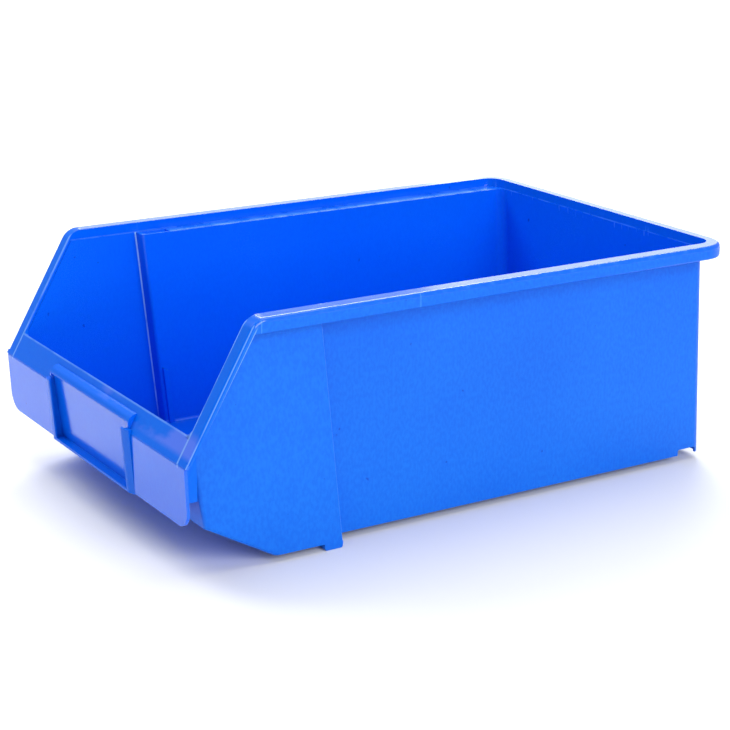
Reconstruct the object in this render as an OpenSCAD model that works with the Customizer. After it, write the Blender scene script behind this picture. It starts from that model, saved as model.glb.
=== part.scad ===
// Open-fronted stackable storage bin, one polypropylene moulding divided into its named features.
// X runs across the bin, the open front faces -Y, Z is up. The feet stand on Z = 0 and the
// origin is at the middle of the overall footprint.

/* [Overall size] */
// Width over the rim
bin_w = 300; // [280:1:320]
// Length from the rear rim to the front of the label guides
bin_l = 447.4; // [440:0.1:460]
// Height from the ground to the top of the rim
bin_h = 171; // [160:1:185]
// Height of the stacking feet below the bottom edge of the walls
foot_h = 5; // [4:0.5:8]

/* [Walls and floor] */
// Thickness of the walls, floor and rim
wall_t = 2.4; // [2:0.1:3]
// Distance between the outer faces of the rear side walls
rear_body_w = 254; // [250:1:258]
// Distance between the outer faces of the wider front side walls
front_body_w = 278; // [277:1:279]
// Overhang of the rear rim beyond the rear wall
rear_overhang = 7; // [6.5:0.1:9]
// Backward lean of the rear wall per millimetre downwards
rear_lean = 0.04; // [0.01:0.005:0.04]
// Height of the floor's underside above the bottom edge of the walls
floor_lift = 5; // [4:0.5:7]
// Radius of the vertical rear corners
wall_corner_r = 8; // [5:0.5:10]
// Distance of the step in the side walls behind the rear rim, at the bottom edge
step_back = 323.6; // [315:0.5:330]
// Forward lean of the step line per millimetre of height
step_lean = 0.097; // [0.05:0.005:0.12]

/* [Front] */
// Distance from the rear rim to the top of the sloped sides
slope_back = 392.4; // [385:0.5:400]
// Distance from the rear rim to the outer edge of the front lip
lip_back = 444.2; // [440:0.2:446]
// Height of the front lip's outer edge above the ground
lip_h = 81.6; // [76:0.2:90]
// Width of the front lip, measured down the slope
lip_w = 19.2; // [16:0.2:22]
// Distance from the rear rim to the foot of the slanted toe
toe_back = 376.2; // [370:0.2:380]
// Distance from the rear rim to the top of the slanted toe
toe_top_back = 425.8; // [422:0.2:428]
// Height of the toe's top above the ground
toe_top_h = 33.6; // [30:0.2:38]

/* [Apron and label holder] */
// Width of the apron that hangs in front of the lip
apron_w = 296; // [290:1:298]
// Height of the apron's lower edge above the ground
apron_low_h = 39.3; // [37:0.1:44]
// Backward lean of the apron per millimetre downwards
apron_lean = 0.04; // [0.02:0.01:0.06]
// Thickness of the apron
apron_t = 2.2; // [1.8:0.1:2.6]
// Radius of the apron's lower corners
apron_r = 13; // [8:1:16]
// Distance that the label guides stand in front of the apron at their foot
guide_proud = 1.8; // [1.6:0.1:3]
// Clear width between the webs of the label guides
label_w = 127; // [110:1:130]
// Width that each guide's return hides of the label
guide_return = 3.5; // [3:0.5:5]
// Height that the hood over the label slot stands above the lip
hood_rise = 3.7; // [3.4:0.1:4]

/* [Rim] */
// Width of the flat top of the rim
rim_w = 12; // [11.8:0.1:12.4]
// Depth of the outer skirt below the rim's top
skirt_d = 9.6; // [8.5:0.1:11]
// Thickness of the skirt
skirt_t = 2.2; // [1.8:0.1:2.6]
// Depth of the skirt beside the slope, measured square to the slope
slope_skirt_d = 3.9; // [3.4:0.1:6]
// Depth of the stacking ledge below the rim's top
ledge_d = 7; // [6.5:0.1:8]
// Radius of the rim's rear corners
rim_corner_r = 24; // [16:1:28]
// Radius of the mouth's rear corners inside the rim
mouth_corner_r = 12; // [6:1:14]

/* [Feet, ribs and notches] */
// Length of each stacking foot
foot_l = 14; // [12:1:20]
// Radius of the foot's lower corners
foot_r = 2; // [1:0.5:3]
// Height of the guide ribs above the ground
rib_top_h = 58; // [50:1:66]
// Width of a guide rib
rib_w = 4.5; // [4:0.5:6]
// Distance that a guide rib stands out from the wall
rib_proud = 2.6; // [2:0.1:3]
// Length of the notch under each side wall
notch_l = 17; // [12:1:20]
// Height of the notch
notch_h = 4.5; // [3:0.5:4.5]
// Depth of the stacking pockets in the ledges
pocket_d = 1.2; // [0.8:0.1:1.6]

/* [Hidden] */
$fn = 48;

// Colours of the moulding's regions
blue = [0.02, 0.30, 0.92];
deep_blue = [0.00, 0.24, 0.85];
pale_blue = [0.20, 0.45, 0.95];
far = bin_l + bin_w;

// Places along the length
rear_y = bin_l / 2;
back_y = rear_y - rear_overhang;
back_in_y = back_y - wall_t;
slope_y = rear_y - slope_back;
lip_y = rear_y - lip_back;
toe_y = rear_y - toe_back;
toe_top_y = rear_y - toe_top_back;
rim_joint_y = rear_y - rim_corner_r - wall_t;

// Places across the width
rim_x = bin_w / 2;
rim_in_x = rim_x - rim_w;
front_x = front_body_w / 2;
front_in_x = front_x - wall_t;
rear_x = rear_body_w / 2;
rear_in_x = rear_x - wall_t;
riser_x = rim_in_x + wall_t;

// Heights
floor_z = foot_h + floor_lift;
floor_top_z = floor_z + wall_t;
band_z = bin_h - wall_t;
skirt_z = bin_h - skirt_d;
ledge_top_z = bin_h - ledge_d;
ledge_z = ledge_top_z - wall_t;

// Slope of the open front: unit vectors down the slope and inwards from it
slope_run = norm([lip_y - slope_y, lip_h - bin_h]);
down = [lip_y - slope_y, lip_h - bin_h] / slope_run;
inward = [-down[1], down[0]];
slope_angle = acos(-down[0]);
lean_angle = atan(rear_lean);

// Point on the line through p along d, at height z
function at_z(p, d, z) = [p[0] + d[0] * (z - p[1]) / d[1], z];
// Point on the line through p along d, at depth y
function at_y(p, d, y) = [y, p[1] + d[1] * (y - p[0]) / d[0]];
// Crossing of the line through p along d with the line through q along e
function cross_point(p, d, q, e) =
    p + d * ((q[0] - p[0]) * e[1] - (q[1] - p[1]) * e[0]) / (d[0] * e[1] - d[1] * e[0]);
// Corner between the rim's top and the slope, set in by t
function rim_corner(t) = [slope_y + t * tan(slope_angle / 2), bin_h - t];
// Outer end of the slope, set in by t
function lip_end(t) = [lip_y, lip_h] + inward * t;
// Lower corner of the skirt where it turns down the slope
function skirt_corner() = at_z([slope_y, bin_h] + inward * slope_skirt_d, down, skirt_z);
// Rear wall's outer face and the front of the round corners, both at height z
function back_at(z) = back_y + rear_lean * (ledge_top_z - z);
function corner_at(z) = back_at(z) - wall_corner_r / cos(lean_angle);
// Place of the step line at height z
function step_y(z) = rear_y - step_back - step_lean * (z - foot_h);

lip_edge = [lip_y, lip_h];
lip_inner = lip_edge - down * lip_w;
toe_foot = [toe_y, foot_h];
toe_top = [toe_top_y, toe_top_h];
toe_dir = (toe_top - toe_foot) / norm(toe_top - toe_foot);
toe_inner = toe_foot + [toe_dir[1], -toe_dir[0]] * wall_t;

// Front wall: its inner face runs from behind the toe's top to the lip's inner edge
wall_in_low = toe_top + [wall_t, 0];
wall_dir = (lip_inner - wall_in_low) / norm(lip_inner - wall_in_low);
lip_under_in = cross_point(lip_end(wall_t), down, wall_in_low, wall_dir);
lip_under_out = cross_point(lip_end(wall_t), down, toe_top, wall_dir);

// Apron: front face hangs from the lip's outer edge and leans back
apron_dir = [-apron_lean, 1] / norm([apron_lean, 1]);
apron_low = at_z(lip_edge, apron_dir, apron_low_h);
apron_back_low = apron_low + [apron_t, 0];
apron_back_top = cross_point(apron_back_low, apron_dir, lip_end(wall_t), down);
apron_end_x = apron_w / 2;

// Label holder
web_t = 2.4;
guide_foot_w = 3.6;
guide_lean = 0.069;
shelf_drop = 0.7;
guide_over_lip = 2.6;
slot_over_lip = 6.6;
web_in_x = label_w / 2;
web_out_x = web_in_x + web_t;
guide_foot_x = web_out_x + guide_foot_w;
guide_low_h = apron_low_h - shelf_drop;
guide_top_h = lip_h + guide_over_lip;
slot_top_h = lip_h + slot_over_lip;
panel_t = 2;
panel_recess_top = 1.6;
panel_recess_low = 4.8;
panel_top = at_z(lip_edge, apron_dir, slot_top_h) + [panel_recess_top, 0];
panel_low = at_z(lip_edge, apron_dir, guide_low_h) + [panel_recess_low, 0];
panel_dir = (panel_top - panel_low) / norm(panel_top - panel_low);
panel_back = [panel_t, 0];
shelf_t = 1.8;
hood_chord = 11.4;
hood_over_edge = 13.6;
hood_sides = 96;
hood_r = (pow(hood_chord / 2, 2) + pow(hood_rise, 2)) / (2 * hood_rise);

// Outline in the Y-Z plane, given depth along X from x0 to x1
module slab(x0, x1) {
    translate([x0, 0, 0]) rotate([90, 0, 90]) linear_extrude(x1 - x0) children();
}

// Right-hand shape, or its mirror image on the left
module on_side(side) {
    mirror([side < 0 ? 1 : 0, 0, 0]) children();
}

// Plan of a body of half width hw whose rear face is at y1, with round rear corners
module plan(hw, y0, y1, r) {
    translate([-hw, y0]) square([2 * hw, y1 - r - y0]);
    translate([r - hw, y0]) square([2 * (hw - r), y1 - y0]);
    for (s = [-1, 1]) translate([s * (hw - r), y1 - r]) circle(r);
}

// Leans its children back about the top of the rear wall and trims them between the foot and a height
module leaning(top_z) {
    intersection() {
        translate([0, back_y, ledge_top_z]) rotate([lean_angle, 0, 0]) children();
        translate([-far, 0, foot_h]) cube([2 * far, far, top_z - foot_h]);
    }
}

// ---------- floor, toe and front wall ----------

module rear_floor() {
    joint_y = step_y(floor_top_z) - wall_t;
    inner = wall_t / cos(lean_angle);
    color(deep_blue) slab(-rear_in_x, rear_in_x)
        polygon([[joint_y, floor_z], [joint_y, floor_top_z],
            [back_at(floor_top_z) - inner, floor_top_z], [back_at(floor_z) - inner, floor_z]]);
}

module front_floor() {
    joint_y = step_y(floor_top_z) - wall_t;
    color(deep_blue) slab(-front_in_x, front_in_x)
        polygon([[joint_y, floor_z], [joint_y, floor_top_z],
            at_z(toe_inner, toe_dir, floor_top_z), at_z(toe_inner, toe_dir, floor_z)]);
}

module toe_panel() {
    color(deep_blue) slab(-front_in_x, front_in_x)
        polygon([toe_foot, toe_top, wall_in_low,
            cross_point(toe_inner, toe_dir, wall_in_low, wall_dir),
            at_y(toe_inner, toe_dir, toe_y)]);
}

module front_wall() {
    color(blue) slab(-front_in_x, front_in_x)
        polygon([toe_top, lip_under_out, lip_under_in, wall_in_low]);
}

module front_lip() {
    color(pale_blue) difference() {
        slab(-rim_in_x, rim_in_x)
            polygon([lip_inner, lip_edge, lip_end(wall_t), lip_under_in]);
        label_slot();
    }
}

// ---------- apron and label holder ----------

module apron_half() {
    intersection() {
        slab(web_out_x, apron_end_x)
            polygon([lip_edge, apron_low, apron_back_low, apron_back_top, lip_end(wall_t)]);
        translate([0, lip_y + far / 2, 0]) rotate([90, 0, 0]) linear_extrude(far) {
            translate([web_out_x, apron_low_h])
                square([apron_end_x - apron_r - web_out_x, bin_h]);
            translate([web_out_x, apron_low_h + apron_r])
                square([apron_end_x - web_out_x, bin_h]);
            translate([apron_end_x - apron_r, apron_low_h + apron_r]) circle(apron_r);
        }
    }
}

module apron_gusset() {
    gusset_over_apron = 18.7;
    gusset_run = 11.2;
    gusset_low_h = apron_low_h + gusset_over_apron;
    front = at_z(apron_back_low, apron_dir, gusset_low_h);
    back = [lip_y + gusset_run, gusset_low_h];
    slab(apron_end_x - wall_t, apron_end_x)
        polygon([front, apron_back_top,
            cross_point(back, [0, 1], lip_end(wall_t), down), back]);
}

module label_panel() {
    color(pale_blue) slab(-web_in_x, web_in_x)
        polygon([panel_low, panel_top, panel_top + panel_back, panel_low + panel_back]);
}

// All that lies in front of the label panel's back and below the hood
module label_slot() {
    back_low = panel_low + panel_back;
    back_top = panel_top + panel_back;
    slab(-web_in_x, web_in_x)
        polygon([back_low, back_top, [back_top[0] - far, back_top[1]],
            [back_low[0] - far, back_low[1]]]);
}

module label_shelf() {
    shelf_top = [panel_low[0], guide_low_h] + panel_dir * (shelf_t / panel_dir[1]);
    front_y = at_z(lip_edge, apron_dir, guide_low_h)[0] - guide_proud;
    color(blue) slab(-web_in_x, web_in_x)
        polygon([[front_y, guide_low_h], [front_y, guide_low_h + shelf_t], shelf_top, panel_low]);
}

module label_hood() {
    centre = lip_edge - down * (hood_over_edge - hood_chord / 2) + inward * (hood_r - hood_rise);
    color(blue) difference() {
        slab(-web_out_x, web_out_x) intersection() {
            translate(centre) circle(hood_r, $fn = hood_sides);
            polygon([at_z(lip_edge, down, guide_top_h), rim_corner(0),
                rim_corner(0) - inward * far, [lip_y - far, guide_top_h]]);
        }
        label_slot();
    }
}

// The lip's own sheet, which a guide's web meets
module lip_sheet() {
    slab(web_in_x, far)
        polygon([lip_edge, lip_end(wall_t), lip_end(wall_t) - down * slope_run,
            lip_edge - down * slope_run]);
}

// All that lies behind the front of the apron and lip, outboard of the label guides' webs
module behind_front() {
    slab(web_out_x, far)
        polygon([lip_edge, lip_edge - down * far, [far, far], [far, -far],
            lip_edge - apron_dir * far]);
}

module label_guide() {
    return_t = 1.4;
    bevel_w = 2.2;
    guide_run = guide_top_h - guide_low_h;
    foot_depth = 3;
    foot_point = at_z(lip_edge, apron_dir, guide_low_h);
    difference() {
        translate([0, foot_point[0], guide_low_h]) rotate([atan(guide_lean), 0, 0])
            translate([0, 0, -guide_run]) linear_extrude(3 * guide_run)
                polygon([[web_in_x, panel_recess_low], [web_out_x, panel_recess_low],
                    [web_out_x, foot_depth], [guide_foot_x, foot_depth], [guide_foot_x, 0],
                    [web_out_x - bevel_w, -guide_proud],
                    [web_in_x - guide_return, -guide_proud],
                    [web_in_x - guide_return, return_t - guide_proud],
                    [web_in_x, return_t - guide_proud]]);
        translate([0, foot_point[0] - far / 2, guide_low_h - far]) cube(far);
        translate([0, foot_point[0] - far / 2, guide_top_h]) cube(far);
        lip_sheet();
        behind_front();
    }
}

// ---------- side walls ----------

module front_side() {
    slab(front_in_x, front_x)
        polygon([[step_y(foot_h), foot_h], toe_foot, toe_top, lip_under_out,
            rim_corner(wall_t) + (ledge_d - wall_t) * down / -down[1],
            [step_y(ledge_top_z), ledge_top_z]]);
}

module step() {
    slab(rear_in_x, front_in_x)
        polygon([[step_y(foot_h), foot_h], [step_y(foot_h) - wall_t, foot_h],
            [step_y(ledge_z) - wall_t, ledge_z], [step_y(ledge_z), ledge_z]]);
}

module rear_side() {
    notch_margin = 0.5;
    difference() {
        slab(rear_in_x, rear_x)
            polygon([[step_y(foot_h), foot_h], [corner_at(foot_h), foot_h],
                [corner_at(ledge_z), ledge_z], [step_y(ledge_z), ledge_z]]);
        translate([0, corner_at(foot_h) - notch_margin - notch_l, 0])
            cube([bin_w, notch_l, foot_h + notch_h]);
    }
}

module rear_corner() {
    leaning(ledge_z)
        translate([rear_x - wall_corner_r, -wall_corner_r, -bin_h])
            linear_extrude(bin_h) difference() {
                intersection() {
                    circle(wall_corner_r);
                    square(wall_corner_r);
                }
                circle(wall_corner_r - wall_t);
            }
}

module rear_wall() {
    half = rear_x - wall_corner_r;
    color(blue) leaning(ledge_top_z)
        translate([-half, -wall_t, -bin_h]) cube([2 * half, wall_t, 2 * bin_h]);
}

module guide_rib() {
    slab(rear_in_x - rib_proud, rear_in_x)
        polygon([[step_y(floor_top_z), floor_top_z],
            [step_y(rib_top_h), rib_top_h],
            [step_y(rib_top_h) + rib_w, rib_top_h - rib_proud],
            [step_y(floor_top_z) + rib_w, floor_top_z]]);
}

module foot() {
    heel_y = step_y(foot_h);
    slab(rear_x, front_x) {
        translate([heel_y - foot_l, foot_r]) square([foot_l, foot_h - foot_r]);
        translate([heel_y - foot_l + foot_r, 0]) square([foot_l - 2 * foot_r, foot_h]);
        for (y = [heel_y - foot_l + foot_r, heel_y - foot_r])
            translate([y, foot_r]) circle(foot_r);
    }
}

// ---------- ledges and rim ----------

module ledge() {
    corner_x = rear_x - wall_corner_r;
    corner_y = back_y - wall_corner_r;
    front_end = step_y(ledge_z) - wall_t;
    pocket_l = 20;
    pocket_w = 9;
    pocket_side = 1.5;
    pocket_lead = 1;
    difference() {
        translate([0, 0, ledge_z]) linear_extrude(wall_t) intersection() {
            union() {
                translate([rear_in_x, front_end])
                    square([front_in_x - rear_in_x, corner_y - front_end]);
                translate([front_in_x, step_y(ledge_z)])
                    square([riser_x - front_in_x, corner_y - step_y(ledge_z)]);
                difference() {
                    translate([corner_x, corner_y])
                        square([riser_x - corner_x, wall_corner_r]);
                    translate([corner_x, corner_y]) circle(wall_corner_r - wall_t);
                }
            }
            plan(riser_x, -far, back_y, mouth_corner_r + wall_t);
        }
        translate([rear_in_x + pocket_side, step_y(ledge_z) + pocket_lead,
            ledge_top_z - pocket_d]) cube([pocket_w, pocket_l, far]);
    }
}

module side_rim() {
    end_y = rim_joint_y;
    slab(rim_in_x, rim_x)
        polygon([rim_corner(0), rim_corner(wall_t), [end_y, band_z], [end_y, bin_h]]);
    slab(rim_x - skirt_t, rim_x)
        polygon([rim_corner(wall_t), skirt_corner(), [end_y, skirt_z], [end_y, band_z]]);
    slab(rim_in_x, riser_x)
        polygon([rim_corner(wall_t), rim_corner(ledge_d), [end_y, ledge_top_z],
            [end_y, band_z]]);
}

module rear_rim() {
    color(pale_blue) intersection() {
        union() {
            translate([0, 0, band_z]) linear_extrude(wall_t) difference() {
                plan(rim_x, 0, rear_y, rim_corner_r);
                plan(rim_in_x, -far, back_in_y, mouth_corner_r);
            }
            translate([0, 0, skirt_z]) linear_extrude(band_z - skirt_z) difference() {
                plan(rim_x, 0, rear_y, rim_corner_r);
                plan(rim_x - skirt_t, -far, rear_y - skirt_t, rim_corner_r - skirt_t);
            }
            translate([0, 0, ledge_top_z]) linear_extrude(band_z - ledge_top_z) difference() {
                plan(riser_x, 0, back_y, mouth_corner_r + wall_t);
                plan(rim_in_x, -far, back_in_y, mouth_corner_r);
            }
        }
        translate([-rim_x, rim_joint_y, 0]) cube([bin_w, bin_l, bin_h]);
    }
}

module slope_rim() {
    skirt_end_d = 3;
    slab(rim_in_x, rim_x)
        polygon([rim_corner(0), lip_edge, lip_end(wall_t), rim_corner(wall_t)]);
    slab(rim_x - skirt_t, rim_x)
        polygon([rim_corner(wall_t), lip_end(wall_t), lip_end(skirt_end_d), skirt_corner()]);
}

// ---------- left and right copies ----------

module left_apron() { color(pale_blue) on_side(-1) apron_half(); }
module right_apron() { color(pale_blue) on_side(1) apron_half(); }
module left_apron_gusset() { color(blue) on_side(-1) apron_gusset(); }
module right_apron_gusset() { color(blue) on_side(1) apron_gusset(); }
module left_label_guide() { color(blue) on_side(-1) label_guide(); }
module right_label_guide() { color(blue) on_side(1) label_guide(); }
module left_front_side() { color(blue) on_side(-1) front_side(); }
module right_front_side() { color(blue) on_side(1) front_side(); }
module left_step() { color(deep_blue) on_side(-1) step(); }
module right_step() { color(deep_blue) on_side(1) step(); }
module left_rear_side() { color(blue) on_side(-1) rear_side(); }
module right_rear_side() { color(blue) on_side(1) rear_side(); }
module left_rear_corner() { color(blue) on_side(-1) rear_corner(); }
module right_rear_corner() { color(blue) on_side(1) rear_corner(); }
module left_ledge() { color(deep_blue) on_side(-1) ledge(); }
module right_ledge() { color(deep_blue) on_side(1) ledge(); }
module left_rim() { color(pale_blue) on_side(-1) side_rim(); }
module right_rim() { color(pale_blue) on_side(1) side_rim(); }
module left_slope_rim() { color(pale_blue) on_side(-1) slope_rim(); }
module right_slope_rim() { color(pale_blue) on_side(1) slope_rim(); }
module left_guide_rib() { color(deep_blue) on_side(-1) guide_rib(); }
module right_guide_rib() { color(deep_blue) on_side(1) guide_rib(); }
module left_foot() { color(blue) on_side(-1) foot(); }
module right_foot() { color(blue) on_side(1) foot(); }

rear_floor();
front_floor();
toe_panel();
front_wall();
front_lip();
left_apron();
right_apron();
left_apron_gusset();
right_apron_gusset();
label_panel();
label_shelf();
label_hood();
left_label_guide();
right_label_guide();
left_front_side();
right_front_side();
left_step();
right_step();
left_rear_side();
right_rear_side();
left_rear_corner();
right_rear_corner();
rear_wall();
left_ledge();
right_ledge();
left_rim();
right_rim();
rear_rim();
left_slope_rim();
right_slope_rim();
left_guide_rib();
right_guide_rib();
left_foot();
right_foot();
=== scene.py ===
# %% [markdown]
# # Stackable storage bin
# The bin is one blue polypropylene moulding: thin walls, a rolled rim, a sloped open front with a lip, and
# an apron that carries a label holder. The CAD solids are plain plates that meet face to face. Here each
# region becomes a moulded shape with fillets and thin edges, made from blocks that are cut and joined the
# way a toolmaker cuts a mould: an outer block, less the cavity, less the hollow under the floor.

# %% Load the frame
import math
import bpy
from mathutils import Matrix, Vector


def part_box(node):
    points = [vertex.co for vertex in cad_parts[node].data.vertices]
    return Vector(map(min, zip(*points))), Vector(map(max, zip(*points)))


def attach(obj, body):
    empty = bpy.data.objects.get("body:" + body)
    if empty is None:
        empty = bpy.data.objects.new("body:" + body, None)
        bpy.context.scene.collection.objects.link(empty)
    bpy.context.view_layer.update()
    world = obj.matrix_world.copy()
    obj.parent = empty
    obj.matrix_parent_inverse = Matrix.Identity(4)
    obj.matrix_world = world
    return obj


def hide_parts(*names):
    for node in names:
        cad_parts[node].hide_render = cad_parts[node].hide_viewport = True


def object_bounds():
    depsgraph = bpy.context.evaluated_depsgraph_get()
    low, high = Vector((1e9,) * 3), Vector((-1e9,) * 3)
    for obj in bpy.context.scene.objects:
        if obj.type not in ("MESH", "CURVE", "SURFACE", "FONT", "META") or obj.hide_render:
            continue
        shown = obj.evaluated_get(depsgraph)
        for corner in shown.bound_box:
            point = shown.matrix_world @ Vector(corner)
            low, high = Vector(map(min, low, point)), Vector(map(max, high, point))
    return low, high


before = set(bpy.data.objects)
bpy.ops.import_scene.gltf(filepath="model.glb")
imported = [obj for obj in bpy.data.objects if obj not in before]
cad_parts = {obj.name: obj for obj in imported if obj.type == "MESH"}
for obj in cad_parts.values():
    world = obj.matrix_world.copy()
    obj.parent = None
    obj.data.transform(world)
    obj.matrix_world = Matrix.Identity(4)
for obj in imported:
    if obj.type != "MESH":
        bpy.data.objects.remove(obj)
cad_low, cad_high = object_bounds()
print("frame holds", len(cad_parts), "nodes, size", [round(v, 4) for v in cad_high - cad_low])

# %% [markdown]
# ## Dimensions
# Every place is read from the boxes of the CAD nodes, so the looks can't drift away from the design. The
# bin runs back from the open front at -Y, X is across, Z is up.

# %% Read the dimensions


def low(node):
    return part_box(node)[0]


def high(node):
    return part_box(node)[1]


wall = high("right_rear_side").x - low("right_rear_side").x
rim_x = cad_high.x
rim_top = cad_high.z
rear_y = cad_high.y
rim_in_x = low("right_rim").x
rim_in_y = low("rear_wall").y
skirt_low = low("rear_rim").z
skirt_depth = rim_top - skirt_low
ledge_low = low("right_ledge").z
ledge_top = high("right_ledge").z
rear_x = high("right_rear_side").x
rear_in_x = low("right_rear_side").x
front_x = high("right_front_side").x
front_in_x = low("right_front_side").x
rear_overhang = 0.007
back_y, heel_y = rear_y - rear_overhang, high("rear_wall").y
bottom = low("rear_wall").z
floor_low = low("rear_floor").z
floor_top = high("rear_floor").z
corner_r = high("right_rear_corner").x - low("right_rear_corner").x
rim_r = rear_y - low("rear_rim").y - wall
mouth_r = 0.5 * rim_r
print("wall", round(wall, 5), "rim", round(rim_x - rim_in_x, 5), "wide and", round(skirt_depth, 5), "deep")

# %% Slopes and leaning faces
# The slope's angle and its top corner depend on each other, so the corner is found by repeated correction.
lip_edge = Vector((0, low("front_lip").y, high("right_apron").z))
slope_y = high("right_slope_rim").y
for repeat in range(20):
    slope_angle = math.atan2(rim_top - lip_edge.z, slope_y - lip_edge.y)
    slope_y = high("right_slope_rim").y - wall * math.tan(slope_angle / 2)
slope_top = Vector((0, slope_y, rim_top))
slope_dir = (lip_edge - slope_top).normalized()
slope_out = Vector((0, slope_dir.z, -slope_dir.y))
lip_inner = slope_top + slope_dir * ((high("front_lip").z - rim_top) / slope_dir.z)

toe_foot = Vector((0, high("toe_panel").y, bottom))
toe_top = Vector((0, low("toe_panel").y, low("front_wall").z))
toe_dir = (toe_top - toe_foot).normalized()
toe_out = Vector((0, -toe_dir.z, toe_dir.y))

wall_in_low = toe_top + Vector((0, wall, 0))
wall_dir = (lip_inner - wall_in_low).normalized()
wall_out = Vector((0, -wall_dir.z, wall_dir.y))

step_box_low, step_box_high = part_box("right_step")
step_lean = (step_box_high.y - step_box_low.y - wall) / (step_box_high.z - step_box_low.z)
step_foot = Vector((0, step_box_high.y, bottom))
step_back = Vector((0, 1, step_lean)).normalized()
print("slope", round(math.degrees(math.acos(-slope_dir.y)), 1), "degrees, step leans", round(step_lean, 3))

# %% [markdown]
# ## Modelling by cutting
# A few small helpers do what a person does by hand in edit mode: add a block at its size and place, bisect
# it along a plane and close the cut, pick edges by where they lie, round them, and join or subtract two
# solids.

# %% Helpers for blocks and cuts
X_AXIS, Y_AXIS, Z_AXIS = Vector((1, 0, 0)), Vector((0, 1, 0)), Vector((0, 0, 1))
SMALL = 1e-5


def activate(piece):
    if bpy.context.object and bpy.context.object.mode != "OBJECT":
        bpy.ops.object.mode_set(mode="OBJECT")
    bpy.ops.object.select_all(action="DESELECT")
    piece.select_set(True)
    bpy.context.view_layer.objects.active = piece


def block(name, corner_low, corner_high):
    bpy.ops.object.select_all(action="DESELECT")
    lo, hi = Vector(corner_low), Vector(corner_high)
    bpy.ops.mesh.primitive_cube_add(size=1, location=(lo + hi) / 2, scale=hi - lo)
    piece = bpy.context.object
    piece.name = name
    bpy.ops.object.transform_apply(location=True, rotation=True, scale=True)
    return piece


def wide_block(name, half_width, y_low, y_high, z_low, z_high):
    return block(name, (-half_width, y_low, z_low), (half_width, y_high, z_high))


def cut_off(piece, point, outward):
    """Removes what lies beyond the plane on its outward side, and closes the cut."""
    activate(piece)
    bpy.ops.object.mode_set(mode="EDIT")
    bpy.ops.mesh.select_mode(type="VERT")
    bpy.ops.mesh.select_all(action="SELECT")
    bpy.ops.mesh.bisect(plane_co=point, plane_no=outward, use_fill=True, clear_outer=True)
    bpy.ops.object.mode_set(mode="OBJECT")


def combine(piece, tool, operation):
    activate(piece)
    change = piece.modifiers.new("combine", "BOOLEAN")
    change.operation, change.object, change.solver = operation, tool, "EXACT"
    bpy.ops.object.modifier_apply(modifier=change.name)
    bpy.data.objects.remove(tool, do_unlink=True)
    tidy_mesh(piece)


def tidy_mesh(piece):
    """Merges doubled points and flat faces, so that later edges are clean."""
    activate(piece)
    bpy.ops.object.mode_set(mode="EDIT")
    bpy.ops.mesh.select_all(action="SELECT")
    bpy.ops.mesh.remove_doubles(threshold=2e-6)
    bpy.ops.mesh.dissolve_limited(angle_limit=math.radians(0.2))
    bpy.ops.object.mode_set(mode="OBJECT")


# %% Helpers for rounding edges


def edge_facts(mesh):
    """Each edge's two ends and the normals of the faces beside it."""
    beside = {}
    for face in mesh.polygons:
        for key in face.edge_keys:
            beside.setdefault(key, []).append(face.normal.copy())
    for edge in mesh.edges:
        a, b = (mesh.vertices[i].co for i in edge.vertices)
        yield edge, a, b, beside.get(tuple(sorted(edge.vertices)), [])


def round_edges(piece, test, radius, segments=4):
    """Fillets each edge that passes the test. The offset suits the angle that the edge turns."""
    activate(piece)
    bpy.ops.object.mode_set(mode="EDIT")
    bpy.ops.mesh.select_mode(type="EDGE")
    bpy.ops.mesh.select_all(action="DESELECT")
    bpy.ops.object.mode_set(mode="OBJECT")
    turn, count = 0.0, 0
    for edge, a, b, normals in edge_facts(piece.data):
        edge.select = len(normals) == 2 and test(a, b, normals)
        if edge.select:
            turn, count = turn + normals[0].angle(normals[1], 0.0), count + 1
    bpy.ops.object.mode_set(mode="EDIT")
    if count:
        offset = radius * math.tan(turn / count / 2)
        bpy.ops.mesh.bevel(offset=offset, offset_type="OFFSET", segments=segments, affect="EDGES",
                           clamp_overlap=True, loop_slide=True)
    bpy.ops.object.mode_set(mode="OBJECT")
    print(piece.name, "rounded", count, "edges to", round(radius * 1000, 2), "mm")


def both(a, b, test):
    return test(a) and test(b)


def turns(normals, least=30):
    return normals[0].angle(normals[1], 0.0) > math.radians(least)


def rear_uprights(limit):
    """A test for the upright edges that lie further back than limit."""
    return lambda a, b, n: min(a.y, b.y) > limit - SMALL and abs(a.x - b.x) < SMALL


def inset(point, depth):
    """A point set in from the slope by depth."""
    return point - slope_out * depth


# %% [markdown]
# ## The tub
# The tub is the floor, the toe and the four walls. The front section is wider than the rear one, with a
# leaning step between them. It could be a sheet given thickness, but the bottom edge hangs below the floor
# and the step is a double wall, so it is cut as a mould is: a stepped outer block, less a cavity with round
# inner corners, less the hollow under the floor.

# %% Outer form of the tub
step_overlap = 0.02
past = 0.03
toe_r, step_edge_r = 0.003, 0.0012

tub = wide_block("tub", rear_x, step_foot.y - step_overlap, back_y, bottom, ledge_top)
round_edges(tub, rear_uprights(back_y), corner_r, 6)


def stepped_front(name, half_width, thickness, z_low, z_high):
    """The front section's form, set in by a thickness from the step, toe and front wall."""
    front = wide_block(name, half_width, lip_edge.y - past, step_foot.y + past, z_low, z_high)
    cut_off(front, step_foot - Y_AXIS * thickness, step_back)
    cut_off(front, toe_foot - toe_out * thickness, toe_out)
    cut_off(front, toe_top - wall_out * thickness, wall_out)
    return front


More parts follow.
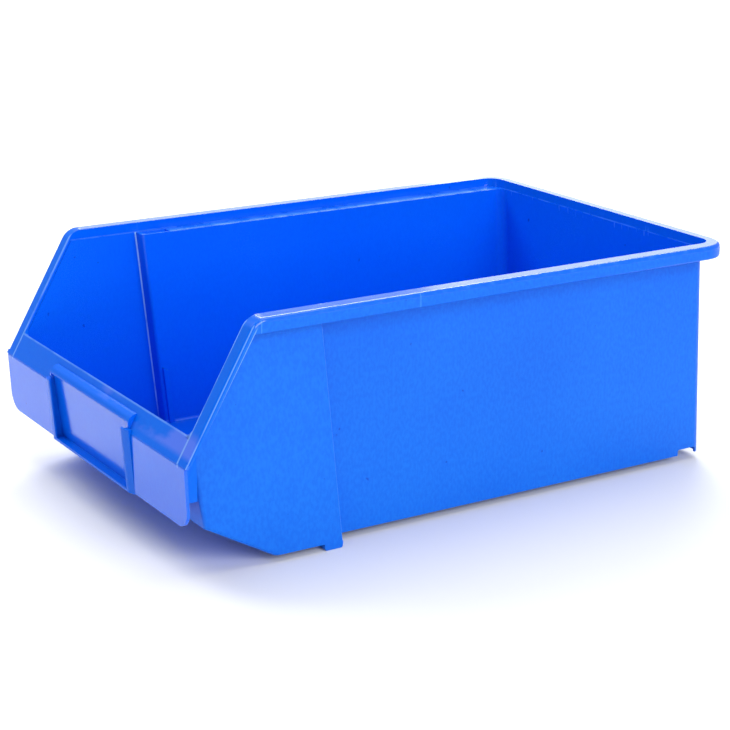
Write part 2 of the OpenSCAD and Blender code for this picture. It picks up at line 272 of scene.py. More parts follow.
front_form = stepped_front("front_form", front_x, 0, bottom, ledge_top)
cut_off(front_form, inset(lip_edge, wall), slope_out)
round_edges(front_form, lambda a, b, n: abs(a.x - b.x) < SMALL and turns(n) and all(
    m.y < 0.1 for m in n) and any(m.y < -0.3 for m in n) and all(m.z < 0.3 for m in n), toe_r)
round_edges(front_form, lambda a, b, n: abs(a.x - b.x) > 0.1 and turns(n, 20) and a.z < toe_top.z + 0.001
            and a.y < step_foot.y - 0.01, toe_r)
round_edges(front_form, lambda a, b, n: turns(n, 60) and abs(a.z - b.z) > 0.1 and any(m.y > 0.9 for m in n),
            step_edge_r, 3)
combine(tub, front_form, "UNION")

# %% Stacking ledge
# The ledge carries the feet of the bin above. It bridges from the narrower rear walls to the rim.
ledge_out_x = rim_in_x + 0.75 * wall
ledge_front = low("right_ledge").y
shelf = wide_block("shelf", ledge_out_x, ledge_front, back_y, ledge_low, ledge_top)
round_edges(shelf, rear_uprights(back_y), mouth_r, 8)
combine(tub, shelf, "UNION")

# %% Cavity and hollow underside
above = rim_top + past
rear_recess = 0.0007
inner_r = 0.0026
cavity_back = rim_in_y - rear_recess
cavity = wide_block("cavity", rear_in_x, step_foot.y - 1.5 * step_overlap, cavity_back, floor_top, above)
round_edges(cavity, rear_uprights(cavity_back), corner_r, 8)
combine(cavity, stepped_front("front_cavity", front_in_x, wall, floor_top, above), "UNION")
round_edges(cavity, lambda a, b, n: turns(n, 16) and not both(a, b, lambda p: p.z > above - SMALL), inner_r)
combine(tub, cavity, "DIFFERENCE")

hollow = wide_block("hollow", rear_in_x, step_foot.y - step_overlap, rim_in_y, bottom - past, floor_low)
front_hollow = wide_block("front_hollow", front_in_x, toe_foot.y + 0.001, step_foot.y + past,
                          bottom - past, floor_low)
cut_off(front_hollow, step_foot - Y_AXIS * wall, step_back)
combine(hollow, front_hollow, "UNION")
combine(tub, hollow, "DIFFERENCE")

# %% Notches and stacking pockets
notch_l = 0.017
notch_h = 0.0045
notch_end = back_y - 0.0055
notch_r = 0.0015
notch_side = 0.002
pocket_w, pocket_l, pocket_d = 0.009, 0.020, 0.0012
pocket_side = 0.0015
pocket_front = ledge_front + 1.4 * wall
for side in (-1, 1):
    edges = sorted((side * (rear_in_x - notch_side), side * (rear_x + notch_side)))
    notch = block("notch", (edges[0], notch_end - notch_l, bottom - past),
                  (edges[1], notch_end, bottom + notch_h))
    round_edges(notch, lambda a, b, n: min(a.z, b.z) > bottom and abs(a.y - b.y) < SMALL, notch_r, 3)
    combine(tub, notch, "DIFFERENCE")
    edges = sorted((side * (rear_in_x + pocket_side), side * (rear_in_x + pocket_side + pocket_w)))
    pocket = block("pocket", (edges[0], pocket_front, ledge_top - pocket_d),
                   (edges[1], pocket_front + pocket_l, above))
    combine(tub, pocket, "DIFFERENCE")

# %% [markdown]
# ## Lean of the rear wall
# The rear wall leans a little, so its foot stands almost under the rim's rear edge. It could lean from the
# start, but then every cut would have to lean too. So the walls were made upright, because upright edges
# are easy to pick and round, and the points at the back are now drawn backwards, further the lower they
# lie.

# %% Lean of the rear wall
rear_lean = (heel_y - back_y) / (ledge_top - bottom)
rear_zone = notch_end - notch_l - 0.001
levels = sorted({round(v.co.z, 5) for v in tub.data.vertices if v.co.y > rear_zone and v.co.z < ledge_low})
activate(tub)
for level in levels:
    bpy.ops.object.mode_set(mode="EDIT")
    bpy.ops.mesh.select_mode(type="VERT")
    bpy.ops.mesh.select_all(action="DESELECT")
    bpy.ops.object.mode_set(mode="OBJECT")
    for v in tub.data.vertices:
        v.select = v.co.y > rear_zone and round(v.co.z, 5) == level
    bpy.ops.object.mode_set(mode="EDIT")
    bpy.ops.transform.translate(value=(0, rear_lean * (ledge_top - level), 0))
bpy.ops.object.mode_set(mode="OBJECT")
print("tub has", len(tub.data.polygons), "faces, its rear foot moved back by", round(heel_y - back_y, 4))

# %% [markdown]
# ## The rim
# The rim is a flat band with a skirt outside and a riser inside, so its section is an upside-down channel.
# It runs back over the side walls and round the rear, and it turns down the slope at the open front. It
# could be a section swept along a path. One solid with the rim's outline gives cleaner bends: its outer top
# edge is rounded, then the mouth and the groove under the band are cut out.

# %% Form of the rim
slope_skirt, skirt_end = 0.0039, 0.003
nose = 0.0032
band_edge_r, hem_r, mouth_edge_r = 0.0028, 0.0008, 0.0013
front_bend_r = 0.013


def rim_form(name, half_width, set_in, depths, rear, end):
    """A solid under the rim's top and slope, set in below them.

    The three depths are along the rim, at the top of the slope and at its end.
    """
    top = rim_top - set_in
    straight = wide_block(name, half_width, slope_top.y - past, rear, rim_top - depths[0], top)
    cut_off(straight, inset(lip_edge, set_in), slope_out)
    round_edges(straight, rear_uprights(rear), rim_r - set_in, 8)
    sloped = wide_block(name + "_slope", half_width, lip_edge.y - past, slope_top.y + past,
                        lip_edge.z - past, top)
    inner_top = slope_top - slope_out * depths[1]
    inner_end = lip_edge - slope_out * depths[2]
    inner_dir = (inner_end - inner_top).normalized()
    cut_off(sloped, inset(lip_edge, set_in), slope_out)
    cut_off(sloped, inner_end, Vector((0, -inner_dir.z, inner_dir.y)))
    cut_off(sloped, lip_edge - slope_dir * end, slope_dir)
    combine(straight, sloped, "UNION")
    return straight


def along_x(a, b):
    return abs(a.x - b.x) > 0.1


def at_slope_top(p):
    return abs(p.y - slope_top.y) < 0.004 and p.z > rim_top - 0.004


rim = rim_form("rim", rim_x, 0, (skirt_depth, slope_skirt, skirt_end), rear_y, nose)
round_edges(rim, lambda a, b, n: along_x(a, b) and both(a, b, at_slope_top), front_bend_r, 8)


def outer_top_edge(a, b, n):
    return turns(n) and any(abs(m.z) < 0.1 and m.y > -0.2 for m in n) and any(m.z > 0.45 for m in n)


round_edges(rim, outer_top_edge, band_edge_r, 5)
round_edges(rim, lambda a, b, n: turns(n, 60) and both(a, b, lambda p: p.z < skirt_low + SMALL)
            and any(abs(m.z) < 0.1 for m in n) and any(m.z < -0.9 for m in n), hem_r, 2)

# %% Mouth and groove of the rim
riser_x = rim_in_x + wall
mouth = wide_block("mouth", rim_in_x, lip_edge.y - past, rim_in_y, bottom, above)
round_edges(mouth, rear_uprights(rim_in_y), mouth_r, 8)
combine(rim, mouth, "DIFFERENCE")


def mouth_edge(a, b, n):
    return turns(n, 60) and both(a, b, lambda p: p.z > rim_top - SMALL) and both(
        a, b, lambda p: abs(p.x) < rim_in_x + SMALL and p.y < rim_in_y + SMALL)


round_edges(rim, mouth_edge, mouth_edge_r, 3)
skirt_t = 0.0022
groove = rim_form("groove", rim_x - skirt_t, wall, (2 * skirt_depth, 3 * slope_skirt, 3 * skirt_end),
                  rear_y - skirt_t, nose + wall)
core = wide_block("core", riser_x, lip_edge.y - past, back_y, bottom, above)
round_edges(core, rear_uprights(back_y), mouth_r + wall, 8)
combine(groove, core, "DIFFERENCE")
combine(rim, groove, "DIFFERENCE")
print("rim has", len(rim.data.polygons), "faces")

# %% [markdown]
# ## Lip and apron
# The lip closes the low front wall with a sloped band, and the apron hangs from its outer edge like a
# curtain. They are one bent sheet, so both are cut as slabs, joined, and rounded along the bend.

# %% Lip
joint = 0.0002
lip = wide_block("lip_and_apron", rim_in_x + joint, lip_edge.y - past, lip_inner.y + past,
                 lip_edge.z - past, rim_top)
cut_off(lip, lip_edge, slope_out)
cut_off(lip, inset(lip_edge, wall), -slope_out)
cut_off(lip, wall_in_low, -wall_out)
nosing = wide_block("nosing", rim_x, lip_edge.y - past, lip_edge.y + past, lip_edge.z - past, rim_top)
cut_off(nosing, lip_edge, slope_out)
cut_off(nosing, inset(lip_edge, wall), -slope_out)
cut_off(nosing, lip_edge - slope_dir * nose, -slope_dir)
combine(lip, nosing, "UNION")
cut_off(lip, lip_edge, slope_dir)

# %% Rounded corners where the lip meets the slopes
# A web of plastic fills each corner of the mouth, with a quarter-round edge.
fill_r = 0.0055
fill_at = lip_inner - slope_dir * fill_r
for side in (-1, 1):
    edges = sorted((side * (rim_in_x - fill_r), side * (rim_in_x + joint)))
    fill = block("fill", (edges[0], fill_at.y - past, lip_edge.z - past),
                 (edges[1], fill_at.y + past, rim_top))
    cut_off(fill, lip_edge, slope_out)
    cut_off(fill, inset(lip_edge, wall), -slope_out)
    cut_off(fill, fill_at, -slope_dir)
    cut_off(fill, lip_inner + slope_dir * 0.002, slope_dir)
    bpy.ops.object.select_all(action="DESELECT")
    bpy.ops.mesh.primitive_cylinder_add(
        vertices=64, radius=fill_r, depth=past, location=fill_at + X_AXIS * side * (rim_in_x - fill_r),
        rotation=slope_out.to_track_quat("Z", "X").to_euler())
    combine(fill, bpy.context.object, "DIFFERENCE")
    combine(lip, fill, "UNION")

# %% Apron
apron_low = low("right_apron").z
apron_x = high("right_apron").x
apron_t = 0.0022
apron_lean = 0.04
apron_back = Vector((0, 1, apron_lean)).normalized()
apron_r = 0.013
nosing_r, lip_inner_r = 0.0024, 0.0011

apron = wide_block("apron_sheet", apron_x, lip_edge.y - past, lip_edge.y + past, apron_low,
                   lip_edge.z + past)
cut_off(apron, lip_edge, -apron_back)
cut_off(apron, lip_edge + Y_AXIS * apron_t, apron_back)
cut_off(apron, inset(lip_edge, 0.0004), slope_out)
round_edges(apron, lambda a, b, n: both(a, b, lambda p: p.z < apron_low + SMALL) and abs(a.x - b.x) < SMALL
            and abs(a.y - b.y) > SMALL, apron_r, 10)
combine(lip, apron, "UNION")
round_edges(lip, lambda a, b, n: along_x(a, b) and turns(n, 15) and both(
    a, b, lambda p: (p - lip_edge - X_AXIS * p.x).length < 0.001), nosing_r, 4)
round_edges(lip, lambda a, b, n: turns(n, 60) and any(abs(m.x) > 0.9 for m in n) and both(
    a, b, lambda p: abs(p.x) > rim_x - SMALL and p.y < lip_edge.y + 0.003), nosing_r, 4)
round_edges(lip, lambda a, b, n: along_x(a, b) and turns(n, 15) and both(
    a, b, lambda p: (p - lip_inner - X_AXIS * p.x).length < 0.001), lip_inner_r, 3)

# %% Window behind the label
# The label's recess cuts through the apron and the lip's outer edge, up to the hood.
label_x = high("label_panel").x
shelf_low = low("label_shelf").z
guide_top = high("right_label_guide").z
slot_top = high("label_panel").z
panel_t = 0.002
recess_top, recess_low = 0.0016, 0.0048
slot_x = label_x + 0.0005


def apron_at(z):
    return lip_edge + Vector((0, apron_lean, -1)) * (lip_edge.z - z)


panel_foot = apron_at(shelf_low) + Y_AXIS * recess_low
panel_head = apron_at(slot_top) + Y_AXIS * recess_top
panel_dir = (panel_head - panel_foot).normalized()
panel_back = Vector((0, panel_dir.z, -panel_dir.y))


def slot_block(name, half_width, set_back):
    slot = wide_block(name, half_width, lip_edge.y - past, lip_edge.y + past, shelf_low, slot_top)
    cut_off(slot, panel_foot + panel_back * set_back, panel_back)
    return slot


combine(lip, slot_block("window", slot_x, 0.5 * panel_t), "DIFFERENCE")
print("lip and apron have", len(lip.data.polygons), "faces")

# %% [markdown]
# ## Label holder
# A card slides down behind two side guides and stands on a shelf. Its back is a panel set into the apron,
# and a rounded hood covers the slot's top. The guides are webs with a thin return, cut from blocks.

# %% Label panel and shelf
panel_x = label_x + 0.0012
holder = wide_block("label_holder", panel_x, lip_edge.y - past, lip_edge.y + past, shelf_low, slot_top)
cut_off(holder, panel_foot, -panel_back)
cut_off(holder, panel_foot + panel_back * panel_t, panel_back)
shelf_front, shelf_high = low("label_shelf").y, shelf_low + 0.0018
tray = wide_block("tray", panel_x, shelf_front, panel_foot.y + 0.001, shelf_low, shelf_high)
combine(holder, tray, "UNION")

# %% Left-hand copies


def mirrored(piece, name):
    """A left-hand copy with its own mesh, turned back the right way out."""
    copy = piece.copy()
    copy.data = piece.data.copy()
    copy.name = name
    bpy.context.collection.objects.link(copy)
    activate(copy)
    bpy.ops.object.mode_set(mode="EDIT")
    bpy.ops.mesh.select_all(action="SELECT")
    bpy.ops.transform.resize(value=(-1, 1, 1), center_override=(0, 0, 0))
    bpy.ops.mesh.normals_make_consistent(inside=False)
    bpy.ops.object.mode_set(mode="OBJECT")
    return copy


# %% Label guides
guide_box_low, guide_box_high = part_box("right_label_guide")
web_out_x = high("label_hood").x
guide_in_x = guide_box_low.x
guide_out_x = guide_box_high.x
return_t = 0.0014
guide_lean = 0.069
guide_proud = apron_at(shelf_low).y - shelf_front
guide_face_x = label_x + joint
guide_front = Vector((0, shelf_front, shelf_low))
guide_fore = -Vector((0, 1, guide_lean)).normalized()

guide = block("label_guide", (label_x, shelf_front - past, shelf_low),
              (web_out_x, panel_foot.y + panel_t, guide_top))
cut_off(guide, panel_foot + panel_back * 0.5 * panel_t, panel_back)
outer = block("guide_outer", (web_out_x - 0.001, shelf_front - past, shelf_low),
              (guide_out_x, panel_foot.y, guide_top))
slant_foot = Vector((guide_out_x, apron_at(shelf_low).y, shelf_low))
slant_rise = Vector((0, -guide_lean, 1))
slant_run = Vector((guide_out_x - guide_face_x, guide_proud, 0))
cut_off(outer, apron_at(shelf_low) + Y_AXIS * 0.001, apron_back)
combine(guide, outer, "UNION")
catch = block("guide_return", (guide_in_x, shelf_front - past, shelf_low),
              (guide_face_x, shelf_front + past, guide_top))
cut_off(catch, guide_front - guide_fore * return_t, -guide_fore)
cut_off(guide, slant_foot, slant_run.cross(slant_rise).normalized())
combine(guide, catch, "UNION")
cut_off(guide, guide_front, guide_fore)
guide_edge_r = 0.0006
round_edges(guide, lambda a, b, n: abs(a.z - b.z) > 0.02 and turns(n) and a.y < apron_at(a.z).y - 0.001,
            guide_edge_r, 3)

left_guide = mirrored(guide, "left_guide")
combine(holder, guide, "UNION")
combine(holder, left_guide, "UNION")
print("label holder has", len(holder.data.polygons), "faces")

# %% Hood over the label slot
# A low arched cover lies on the lip. It is cut from a round bar, and the label slot runs up into it.
hood_rise, hood_chord, hood_over = 0.0037, 0.0114, 0.0136
hood_r = ((hood_chord / 2) ** 2 + hood_rise ** 2) / (2 * hood_rise)
hood_mid = lip_edge - slope_dir * (hood_over - hood_chord / 2)
bpy.ops.object.select_all(action="DESELECT")
bpy.ops.mesh.primitive_cylinder_add(vertices=96, radius=hood_r, depth=2 * web_out_x,
                                    location=hood_mid - slope_out * (hood_r - hood_rise),
                                    rotation=(0, math.pi / 2, 0))
hood = bpy.context.object
hood.name = "label_hood_cover"
bpy.ops.object.transform_apply(location=True, rotation=True, scale=True)
cut_off(hood, lip_edge - slope_out * 0.0003, -slope_out)
round_edges(hood, lambda a, b, n: turns(n, 45) and both(a, b, lambda p: abs(p.x) > web_out_x - SMALL)
            and (n[0] + n[1]).dot(slope_out) > 0, 0.0008, 3)
combine(hood, slot_block("hood_slot", slot_x, 0.5 * panel_t), "DIFFERENCE")

# %% [markdown]
# ## Feet, ribs and gussets
# Small blocks of plastic: two stacking feet under the step, two upright ribs in the corners behind the
# step, and two end returns that stiffen the apron. Each is made for the right-hand side and copied to the
# left.

# %% Feet, ribs and gussets
foot = block("right_stacking_foot", low("right_foot"), high("right_foot"))
foot_r, foot_edge_r = 0.002, 0.0004
round_edges(foot, lambda a, b, n: turns(n) and both(a, b, lambda p: p.z < 0.0001) and abs(a.x - b.x) > 0.005,
            foot_r)
round_edges(foot, lambda a, b, n: turns(n) and both(a, b, lambda p: p.z < 0.004), foot_edge_r, 2)

rib_low, rib_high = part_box("right_guide_rib")
rib = block("right_rib", rib_low - Z_AXIS * 0.001, rib_high + X_AXIS * 0.0008)
rib_w, rib_edge_r = 0.0045, 0.0006
rib_foot = Vector((0, rib_high.y - rib_w, rib_low.z))
cut_off(rib, rib_foot, -step_back)
cut_off(rib, Vector((0, rib_high.y, rib_low.z)), step_back)
cut_off(rib, Vector((0, rib_low.y, rib_high.z)), Vector((0, 0.5, 0.87)))
round_edges(rib, lambda a, b, n: turns(n) and min(a.x, b.x) < rib_low.x + SMALL, rib_edge_r, 2)

gusset_low, gusset_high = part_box("right_apron_gusset")
gusset_set_in = Vector((0.0003, 0.0022, 0))
gusset = block("right_gusset", gusset_low - Y_AXIS * 0.001, gusset_high - gusset_set_in)
cut_off(gusset, inset(lip_edge, 0.6 * wall), slope_out)
cut_off(gusset, lip_edge + Y_AXIS * 0.5 * apron_t, -apron_back)
small_pieces = [foot, rib, gusset]
small_pieces += [mirrored(p, p.name.replace("right", "left")) for p in small_pieces]
print("made", [p.name for p in small_pieces])

# %% [markdown]
# ## Moulded blue plastic
# Coloured polypropylene has an even, strong body colour and a semi-gloss skin. The skin isn't a mirror:
# spark erosion leaves a fine grain on the mould, so highlights are soft and slightly mottled. Use adds
# faint scuffs and specks. Painted images would need a layout for every face. Here one shader gives all of
# that from position.

# %% Shader helper


class Wave:
    """A socket that takes part in Python sums, so shader maths reads like maths."""

    def __init__(self, tree, socket):
        self.tree, self.socket = tree, socket

    def _with(self, kind, first, second=0.0):
        return node(self.tree, "ShaderNodeMath", {"operation": kind}, {0: first, 1: second})

    def __add__(self, other):
        return self._with("ADD", self, other)

    __radd__ = __add__

    def __mul__(self, other):
        return self._with("MULTIPLY", self, other)

    __rmul__ = __mul__

    def __sub__(self, other):
        return self._with("SUBTRACT", self, other)

    def __rsub__(self, other):
        return self._with("SUBTRACT", other, self)

    def __abs__(self):
        return self._with("ABSOLUTE", self)

    def least(self, other):
        return self._with("MINIMUM", self, other)

    def most(self, other):
        return self._with("MAXIMUM", self, other)

    def fade(self, none_at, full_at):
        """0 at one value, 1 at the other, and held outside them."""
        return node(self.tree, "ShaderNodeMapRange", {"clamp": True}, {0: self, 1: none_at, 2: full_at})


def node(tree, kind, settings=None, values=None, output=0):
    made = tree.nodes.new(kind)
    for key, value in (settings or {}).items():
        setattr(made, key, value)
    for key, value in (values or {}).items():
        if isinstance(value, Wave):
            tree.links.new(value.socket, made.inputs[key])
        else:
            made.inputs[key].default_value = value
    return Wave(tree, made.outputs[output])


def noise(place, scale, detail=2.0, stretch=(1.0, 1.0, 1.0)):
    """Noise with the given number of lumps per metre, stretched along an axis where its factor is small."""
    spread = node(place.tree, "ShaderNodeMapping", {}, {"Vector": place, "Scale": stretch})
    return node(place.tree, "ShaderNodeTexNoise", {}, {"Vector": spread, "Scale": scale, "Detail": detail})


def mixed(amount, first, second):
    blend = {0: amount, 6: first, 7: second}
    return node(amount.tree, "ShaderNodeMix", {"data_type": "RGBA"}, blend, output=2)


# %% [markdown]
# ## Marks of moulding and use, and painted highlights and reflections
# Wear and moulding marks sit where they do on a used bin: rubbed rim edges and foot bottoms, scuffs along
# the stacking ledge and the rear wall's top, and thin witness lines across the rim's skirt and down the
# outer step. A pale line in the inner corners of the steps and pale lines along the sloped rims' edges are
# painted highlights, and paler patches on the lip are painted reflections. Each mark is a mask that is 1 on
# the mark and 0 off it, made from distances to the bin's own faces, and noise breaks up all but the witness
# lines.

# %% Rubbed edges and scuffs


def rubbed_edges(place, x, y, z):
    """Worn outer edges of the rim, behind the slope, and worn undersides of the feet."""
    from_edge = (rim_x - abs(x)).least(rear_y - y) + (rim_top - z)
    worn = from_edge.fade(0.0030, 0.0005).most(z.fade(0.0015, 0.0))
    return worn * noise(place, 160.0, 4.0).fade(0.48, 0.78) * (y - slope_top.y).fade(0.004, 0.03) * 0.6


def ledge_scuffs(place, x, y, z):
    """A broken line at the ledge's height inside the mouth, with short upright ticks at the rear."""
    height = abs(z - ledge_top)
    line = height.fade(0.0007, 0.0002) * noise(place, 70.0, 3.0).fade(0.40, 0.62) * 0.45
    at_rear = (y - rim_in_y).fade(-0.0040, -0.0020)
    streaks = noise(place, 300.0, 2.0, (1.0, 1.0, 0.12)).fade(0.62, 0.70)
    ticks = height.fade(0.0050, 0.0015) * streaks * at_rear
    inside_x = (rim_in_x + 0.0005 - abs(x)).fade(-0.0002, 0.0002)
    inside_y = (rim_in_y + 0.0005 - y).fade(-0.0002, 0.0002)
    return line.most(ticks * 0.6) * (inside_x * inside_y)


# %% Painted highlights and reflections along the slope


def below_slope(y, z):
    return (lip_edge.y - y) * slope_out.y + (lip_edge.z - z) * slope_out.z


def painted_slope_highlights(place, x, y, z):
    """Painted highlights: pale lines along both edges of the sloped rims, the skirt's lower edge and the
    lip's inner edge.
    """
    depth = below_slope(y, z)
    outer, inner = rim_x - abs(x), abs(x) - rim_in_x
    crest = abs(depth - outer).fade(0.0008, 0.0002) * (depth + outer).fade(0.0027, 0.0021)
    brink = abs(depth - inner).fade(0.0012, 0.0005) * abs(depth + inner).fade(0.0021, 0.0014)
    hem = abs(depth - slope_skirt + 0.0003).fade(0.0005, 0.0002) * outer.fade(0.0010, 0.0004)
    ahead = (slope_top.y - y).fade(-0.002, 0.001)
    along = (y - lip_inner.y) * slope_dir.y + (z - lip_inner.z) * slope_dir.z
    lip_line = abs(along - 0.0005).fade(0.0010, 0.0004) * depth.fade(0.0020, 0.0010)
    lip_line = lip_line * inner.fade(0.0, -0.001) * 0.6
    return crest.most(brink).most(hem).most(lip_line) * ahead * noise(place, 45.0, 3.0).fade(0.2, 0.5)


def painted_lip_reflections(place, x, y, z):
    """Painted reflections: paler patches along the lip, standing in for reflections of things beside the
    bin.
    """
    on_lip = (lip_inner.y - y).fade(-0.002, 0.001) * (y - lip_edge.y).fade(0.002, 0.004)
    patches = noise(place, 26.0, 4.0, (0.5, 1.0, 1.0)).fade(0.50, 0.58)
    return below_slope(y, z).fade(0.0012, 0.0006) * on_lip * patches


# %% Marks left by the mould, and a painted highlight in the step corners


def witness_lines(x, y, z):
    """Two fine lines across each skirt, and one down the outer edge of each step."""
    first = abs(y - (slope_top.y + 0.0037))
    second = abs(y - (slope_top.y + 0.1220))
    on_skirt = first.least(second).fade(0.00045, 0.0001) * (abs(x) - rim_x).fade(-0.0016, -0.0008)
    from_step = abs(y - step_foot.y + step_lean * (z - bottom))
    on_wall = from_step.fade(0.0009, 0.0004) * abs(abs(x) - front_x).fade(0.0011, 0.0006)
    return on_skirt.most(on_wall * 0.7)


def painted_corner_highlight(place, x, y, z):
    """A painted highlight: a pale line along the inner corners between the front walls and the steps."""
    from_side = front_in_x - abs(x)
    from_step = step_foot.y - wall - step_lean * (z - bottom) - y
    on_curve = abs(from_side - from_step).fade(0.0011, 0.0004)
    on_curve = on_curve * (from_side + from_step).fade(0.0036, 0.0028)
    indoors = from_side.fade(-0.0003, 0.0) * (z - floor_top).fade(0.0, 0.02)
    return on_curve * indoors * noise(place, 60.0, 3.0).fade(0.2, 0.45)


# %% Blue polypropylene
# The moulding is one plastic: the grained and satin colours are shifted copies of the body colour, and these
# shifts are painted light and shade.
BODY_BLUE, PALE_BLUE = (0.0, 0.110, 0.78, 1), (0.0, 0.127, 0.80, 1)
SATIN_BLUE_WITH_PAINTED_SHADE, SATIN_PALE_WITH_PAINTED_SHADE = (0.0, 0.110, 0.70, 1), (0.0, 0.128, 0.72, 1)
GRAINED_BLUE_WITH_PAINTED_SHADE, GRAINED_PALE_WITH_PAINTED_LIGHT = (0.0, 0.112, 0.67, 1), (0.004, 0.156, 0.73, 1)
RUBBED = (0.06, 0.26, 0.90, 1)
# Colour of the painted highlight lines in the step corners and along the slope's edges.
PAINTED_HIGHLIGHT = (0.30, 0.56, 0.95, 1)
# Tint of the painted reflections on the lip.
PAINTED_REFLECTION_TINT = (0.14, 0.20, 0.76, 1)
SPECK = (0.0, 0.05, 0.50, 1)


def polypropylene(name, grain, gloss, body, pale, specular):
    """One finish of the plastic, from the strength of its grain, its roughness and its two body colours; the
    grained and satin body colours carry painted light and shade.
    """
    material = bpy.data.materials.new(name)
    material.use_nodes = True
    tree = material.node_tree
    shader = next(n for n in tree.nodes if n.type == "BSDF_PRINCIPLED")
    place = node(tree, "ShaderNodeTexCoord", output=3)
    x, y, z = (node(tree, "ShaderNodeSeparateXYZ", {}, {0: place}, output=axis) for axis in range(3))

    cloud = noise(place, 9.0, 3.0)
    mottle = noise(place, 520.0, 3.0, (1.0, 1.0, 0.55))
    grit = noise(place, 1500.0)
    tint = mottle.fade(0.38, 0.62) * 0.55 + cloud.fade(0.3, 0.7) * 0.45
    colour = mixed(tint, body, pale)
    colour = mixed(noise(place, 170.0, 1.0).fade(0.795, 0.82) * 0.8, colour, SPECK)
    rubbed = rubbed_edges(place, x, y, z).most(ledge_scuffs(place, x, y, z))
    rubbed = rubbed.most(witness_lines(x, y, z) * 0.8)
    colour = mixed(rubbed, colour, RUBBED)
    # Painted reflections: paler patches on the lip.
    colour = mixed(painted_lip_reflections(place, x, y, z) * 0.5, colour, PAINTED_REFLECTION_TINT)
    # Painted highlights: pale lines in the step corners and along the slope's edges.
    painted_highlight_mask = (painted_corner_highlight(place, x, y, z) * 0.9).most(painted_slope_highlights(place, x, y, z) * 0.45)
    colour = mixed(painted_highlight_mask, colour, PAINTED_HIGHLIGHT)
    tree.links.new(colour.socket, shader.inputs["Base Color"])

    rough = gloss + cloud * 0.08 + grit * 0.04 + rubbed * 0.2
    tree.links.new(rough.socket, shader.inputs["Roughness"])

    groove_line = abs(abs(x) - rim_in_x).fade(0.0007, 0.0) * (lip_inner.y - y).fade(0.0, 0.002)
    relief = grit * 0.25 + mottle * 0.75 - groove_line * 2.0
    fine = node(tree, "ShaderNodeBump", {}, {"Strength": grain, "Distance": 0.0001, "Height": relief})
    sink = noise(place, 26.0, 2.0, (0.5, 1.0, 1.0))
    broad = node(tree, "ShaderNodeBump", {},
                 {"Strength": 0.25, "Distance": 0.0012, "Height": sink, "Normal": fine})
    tree.links.new(broad.socket, shader.inputs["Normal"])
    shader.inputs["IOR"].default_value = 1.49
    shader.inputs["Specular IOR Level"].default_value = specular
    return material


polished = polypropylene("polished_blue", 0.12, 0.10, BODY_BLUE, PALE_BLUE, 0.5)
smooth = polypropylene("smooth_blue", 0.15, 0.20, BODY_BLUE, PALE_BLUE, 0.3)
satin = polypropylene("satin_blue", 0.15, 0.26, SATIN_BLUE_WITH_PAINTED_SHADE, SATIN_PALE_WITH_PAINTED_SHADE, 0.12)
grained = polypropylene("grained_blue", 0.4, 0.32, GRAINED_BLUE_WITH_PAINTED_SHADE, GRAINED_PALE_WITH_PAINTED_LIGHT, 0.2)
print("material nodes", len(polished.node_tree.nodes))

# %% [markdown]
# ## Finish each piece
# Flat faces keep flat shading and fillets blend, which a weighted normal does. Each piece rides on the one
# rigid body and stands for the CAD nodes of its region.

# %% Ride, replace and shade
regions = {
    tub: ("rear_floor", "front_floor", "toe_panel", "front_wall", "left_front_side", "right_front_side",
          "left_step", "right_step", "left_rear_side", "right_rear_side", "left_rear_corner",
          "right_rear_corner", "rear_wall", "left_ledge", "right_ledge"),
    rim: ("left_rim", "right_rim", "rear_rim", "left_slope_rim", "right_slope_rim"),
    lip: ("front_lip", "left_apron", "right_apron"),
    holder: ("label_panel", "label_shelf", "left_label_guide", "right_label_guide"),
    hood: ("label_hood",),
}
for piece in small_pieces:
    side = piece.name.split("_")[0]
    stands_for = {"foot": "foot", "rib": "guide_rib", "gusset": "apron_gusset"}[piece.name.split("_")[-1]]
    regions[piece] = (side + "_" + stands_for,)

for piece, nodes in regions.items():
    activate(piece)
    bpy.ops.object.shade_smooth_by_angle(angle=math.radians(40))
    weigh = piece.modifiers.new("weigh", "WEIGHTED_NORMAL")
    weigh.keep_sharp = True
    bpy.ops.object.modifier_apply(modifier=weigh.name)
    piece.data.materials.clear()
    piece.data.materials.append(smooth if piece == tub else polished)
    piece.data.materials.append(grained)
    piece.data.materials.append(satin)
    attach(piece, "root")
    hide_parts(*nodes)
print("pieces", len(regions))

# %% [markdown]
# ## Finish on each face
# The mould's core leaves the inside smooth, while its outer half leaves a fine spark-eroded grain. The
# slopes, the lip, the hood, the label guides and the gussets are satin. A face gets its finish from where
# it lies and which way it looks.

# %% Finish on each face
# The first slot holds the smooth finish on the tub and the polished one on every other piece.
GLOSSY, GRAINED, SATIN = 0, 1, 2


def in_cavity(p):
    half = rear_in_x if p.y > step_foot.y - step_lean * (p.z - bottom) - 0.5 * wall else front_in_x
    back = rim_in_y + rear_lean * (ledge_top - p.z)
    return abs(p.x) < half + 0.0004 and p.y < back and p.z > floor_top - 0.0004


# The grained and satin finishes bring their shifted body colours, so this choice also paints light and shade
# by where a face lies and which way it looks.
for piece in regions:
    for face in piece.data.polygons:
        if piece == tub:
            inside = in_cavity(face.center) and (face.center - wall_in_low).dot(wall_out) < 0.0004
            face.material_index = GLOSSY if inside or face.center.z > ledge_low else GRAINED
        elif piece == rim and abs(face.normal.z) < 0.15 and abs(face.center.x) > riser_x:
            face.material_index = GRAINED
        elif piece == rim:
            face.material_index = SATIN if face.normal.y < -0.3 and face.normal.z < 0.9 else GLOSSY
        elif piece in (lip, hood):
            face.material_index = SATIN if face.normal.z > 0.2 else GLOSSY
        elif piece == holder:
            beside = abs(face.center.x) > label_x - 0.004 or face.center.z < shelf_high + SMALL
            face.material_index = SATIN if beside else GLOSSY
        elif "gusset" in piece.name or "foot" in piece.name:
            face.material_index = SATIN if "gusset" in piece.name else GRAINED
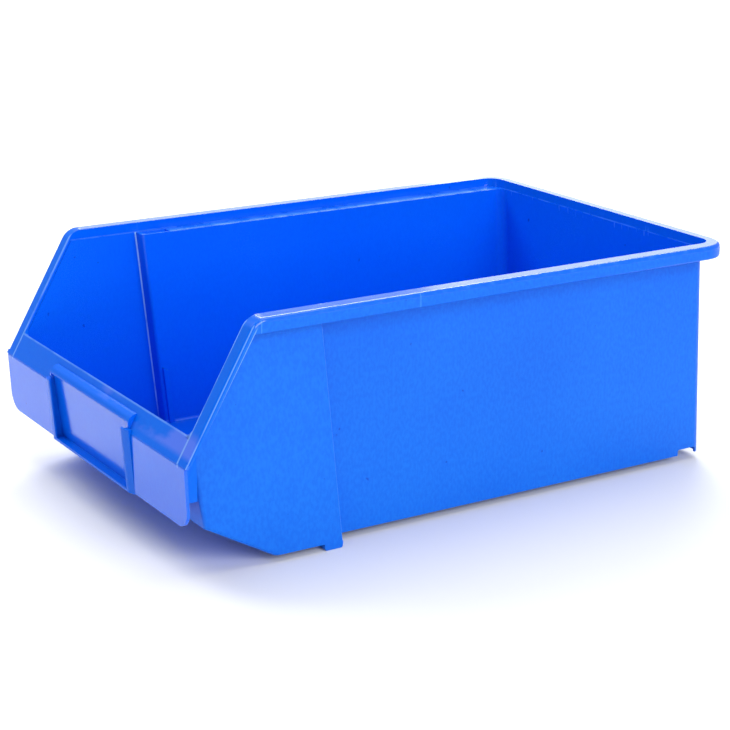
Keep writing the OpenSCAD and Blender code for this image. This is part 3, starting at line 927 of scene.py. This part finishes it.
print("grained faces", sum(f.material_index == GRAINED for f in tub.data.polygons), "on the tub")

# %% [markdown]
# ## Floor, light and camera
# A plain pale floor and large soft lights, as in a small product studio, so that the gloss shows broad,
# even reflections. The camera looks down a little from the open front's right-hand side.

# %% Floor
bpy.ops.object.select_all(action="DESELECT")
bpy.ops.mesh.primitive_plane_add(size=60, location=(0, 0, 0))
floor = bpy.context.object
floor.name = "studio_floor"
paper = bpy.data.materials.new("pale_paper")
paper.use_nodes = True
paper_shader = next(n for n in paper.node_tree.nodes if n.type == "BSDF_PRINCIPLED")
paper_shader.inputs["Base Color"].default_value = (0.86, 0.87, 0.88, 1)
paper_shader.inputs["Roughness"].default_value = 0.8
floor.data.materials.append(paper)

# %% Lights


def soft_light(name, place, aim, size, watts):
    lamp = bpy.data.lights.new(name, "AREA")
    lamp.shape, lamp.size, lamp.energy = "SQUARE", size, watts
    stand = bpy.data.objects.new(name, lamp)
    bpy.context.collection.objects.link(stand)
    stand.location = place
    stand.rotation_mode = "QUATERNION"
    stand.rotation_quaternion = (Vector(aim) - Vector(place)).to_track_quat("-Z", "Y")


middle = (cad_low + cad_high) / 2
soft_light("right_side", (2.3, 0.1, 1.1), middle, 1.4, 41)
soft_light("left_back", (-2.0, 0.90, 0.17), middle, 1.0, 5)
soft_light("back", (-2.0, 1.98, 0.55), middle, 1.0, 5.5)
soft_light("left_front", (-1.2, -1.0, 1.7), (-0.35, -0.45, 0), 1.0, 22)
soft_light("backdrop", (-2.9, 1.9, 2.4), (-2.9, 1.9, 0), 2.0, 150)
soft_light("overhead", (0.0, 0.1, 2.4), middle, 2.0, 28)
world = bpy.data.worlds.new("studio")
bpy.context.scene.world = world
world.use_nodes = True
world.node_tree.nodes["Background"].inputs[0].default_value = (1, 1, 1, 1)
world.node_tree.nodes["Background"].inputs[1].default_value = 0.42
bpy.context.scene.view_settings.view_transform = "Standard"

# %% Camera
azimuth, elevation = math.radians(58.5), math.radians(17.0)
back = Vector((math.sin(azimuth) * math.cos(elevation), -math.cos(azimuth) * math.cos(elevation),
               math.sin(elevation)))
target = middle + Vector((0.0009, 0.0018, -0.0101))
camera = bpy.data.objects.new("camera", bpy.data.cameras.new("camera"))
bpy.context.collection.objects.link(camera)
camera.data.lens = 94.04
camera.location = target + back * 1.4183
camera.rotation_mode = "QUATERNION"
camera.rotation_quaternion = (-back).to_track_quat("-Z", "Y")
bpy.context.scene.camera = camera
print("camera is", round(camera.location.length, 3), "m away")
